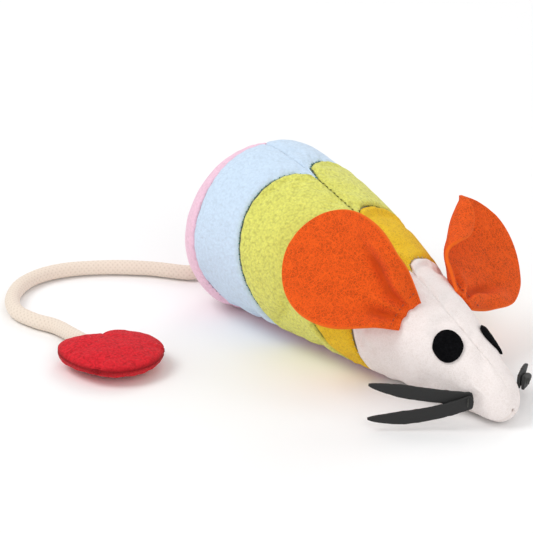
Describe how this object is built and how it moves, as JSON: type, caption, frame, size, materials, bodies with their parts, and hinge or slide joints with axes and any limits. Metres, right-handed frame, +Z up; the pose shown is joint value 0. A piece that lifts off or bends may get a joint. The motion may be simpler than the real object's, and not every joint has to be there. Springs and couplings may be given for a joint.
{
  "type": "stuffed toy mouse",
  "caption": "Stuffed fleece patchwork toy mouse with felt ears, eyes and whiskers and a cotton rope tail that ends in a padded heart.",
  "frame": {"origin": "on the surface that the mouse lies on, under the middle of its body, at the centre of the belly panel", "axes": "+X towards the nose, along the body's longest extent; +Y to the mouse's left; +Z up"},
  "size_m": [0.2207, 0.166, 0.0702],
  "materials": {
    "pink_fleece": "matte",
    "blue_fleece": "matte",
    "green_fleece": "matte",
    "yellow_felt": "matte",
    "white_felt": "matte",
    "orange_felt": "matte",
    "black_felt": "matte",
    "red_felt": "matte",
    "cotton_rope": "matte",
    "polyester_stuffing": "matte",
    "dark_thread": "matte",
    "orange_thread": "matte"
  },
  "bodies": {
    "mouse_body": {"right_pink_patch": "pink_fleece", "right_blue_patch": "blue_fleece", "right_green_patch": "green_fleece", "right_yellow_patch": "yellow_felt", "right_head_patch": "white_felt", "right_eye": "black_felt", "right_whisker_stitch": "dark_thread", "left_pink_patch": "pink_fleece", "left_blue_patch": "blue_fleece", "left_green_patch": "green_fleece", "left_yellow_patch": "yellow_felt", "left_head_patch": "white_felt", "left_eye": "black_felt", "left_whisker_stitch": "dark_thread", "belly_panel": "pink_fleece", "chin_panel": "white_felt", "body_stuffing": "polyester_stuffing"},
    "right_ear": {"right_ear": "orange_felt", "right_ear_stitch": "orange_thread"},
    "left_ear": {"left_ear": "orange_felt", "left_ear_stitch": "orange_thread"},
    "tail": {"tail_cord": "cotton_rope", "heart_upper": "red_felt", "heart_lower": "red_felt", "heart_stuffing": "polyester_stuffing"},
    "right_upper_whisker": {"right_upper_whisker": "black_felt"},
    "right_lower_whisker": {"right_lower_whisker": "black_felt"},
    "left_upper_whisker": {"left_upper_whisker": "black_felt"},
    "left_lower_whisker": {"left_lower_whisker": "black_felt"}
  },
  "joints": [
    {"name": "right_ear_fold", "type": "hinge", "parent": "mouse_body", "child": "right_ear", "pos_m": [0.03922, -0.01446, 0.03578], "axis": [0.0753, 0.6282, 0.7744], "range_deg": [-15, 35], "stiffness_Nm_per_rad": 0.006},
    {"name": "left_ear_fold", "type": "hinge", "parent": "mouse_body", "child": "left_ear", "pos_m": [0.03939, 0.0167, 0.03309], "axis": [0.4308, 0.5706, -0.6991], "range_deg": [0, 30], "stiffness_Nm_per_rad": 0.006},
    {"name": "right_upper_whisker_pivot", "type": "hinge", "parent": "mouse_body", "child": "right_upper_whisker", "pos_m": [0.07493, -0.01159, 0.01165], "axis": [-0.788, 0.6157, 0], "range_deg": [-1, 16], "stiffness_Nm_per_rad": 0.002},
    {"name": "right_lower_whisker_pivot", "type": "hinge", "parent": "mouse_body", "child": "right_lower_whisker", "pos_m": [0.07627, -0.01264, 0.01165], "axis": [-0.788, 0.6157, 0], "range_deg": [-1, 7], "stiffness_Nm_per_rad": 0.002},
    {"name": "left_upper_whisker_pivot", "type": "hinge", "parent": "mouse_body", "child": "left_upper_whisker", "pos_m": [0.07493, 0.01159, 0.01165], "axis": [0.766, 0.6428, 0], "range_deg": [-1, 16], "stiffness_Nm_per_rad": 0.002},
    {"name": "left_lower_whisker_pivot", "type": "hinge", "parent": "mouse_body", "child": "left_lower_whisker", "pos_m": [0.07623, 0.01269, 0.01165], "axis": [0.766, 0.6428, 0], "range_deg": [-1, 7], "stiffness_Nm_per_rad": 0.002},
    {"name": "tail_swing", "type": "hinge", "parent": "mouse_body", "child": "tail", "pos_m": [-0.08288, 0, 0.0095], "axis": [0, 0, 1], "range_deg": [-20, 20]}
  ]
}
